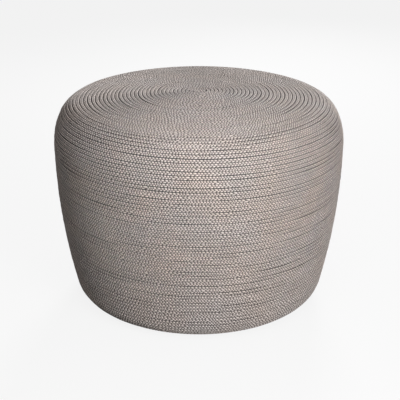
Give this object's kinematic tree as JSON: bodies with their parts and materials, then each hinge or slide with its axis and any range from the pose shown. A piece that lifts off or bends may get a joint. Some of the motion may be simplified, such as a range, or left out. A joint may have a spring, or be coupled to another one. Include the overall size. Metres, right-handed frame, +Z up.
{
  "type": "outdoor ottoman footstool",
  "caption": "Round outdoor footstool: a braided rope wound in a spiral over a domed foam top and down tapering sides, on a welded aluminium cage with a base plate and glides.",
  "frame": {"origin": "middle of the underside, on the floor", "axes": "+Z up along the axis of the round body; the cut end of the coil on top lies towards -X"},
  "size_m": [0.6, 0.6, 0.448],
  "materials": {
    "braided_rope": "matte",
    "foam": "matte",
    "coated_aluminium": "matte",
    "base_plate": "matte",
    "glide": "matte",
    "screw": "satin"
  },
  "bodies": {
    "root": {"base_plate": "base_plate", "base_ring": "coated_aluminium", "base_screw_1": "screw", "base_screw_2": "screw", "base_screw_3": "screw", "base_screw_4": "screw", "base_screw_5": "screw", "base_screw_6": "screw", "belly_hoop": "coated_aluminium", "deck_hoop": "coated_aluminium", "glide_1": "glide", "glide_2": "glide", "glide_3": "glide", "glide_4": "glide", "glide_5": "glide", "glide_6": "glide", "glide_screw_1": "screw", "glide_screw_2": "screw", "glide_screw_3": "screw", "glide_screw_4": "screw", "glide_screw_5": "screw", "glide_screw_6": "screw", "hub_disc": "coated_aluminium", "rib_1": "coated_aluminium", "rib_10": "coated_aluminium", "rib_11": "coated_aluminium", "rib_12": "coated_aluminium", "rib_2": "coated_aluminium", "rib_3": "coated_aluminium", "rib_4": "coated_aluminium", "rib_5": "coated_aluminium", "rib_6": "coated_aluminium", "rib_7": "coated_aluminium", "rib_8": "coated_aluminium", "rib_9": "coated_aluminium", "rope_side_winding": "braided_rope", "rope_top_coil": "braided_rope", "shoulder_hoop": "coated_aluminium", "side_sleeve": "foam", "top_pad": "foam"}
  },
  "joints": []
}
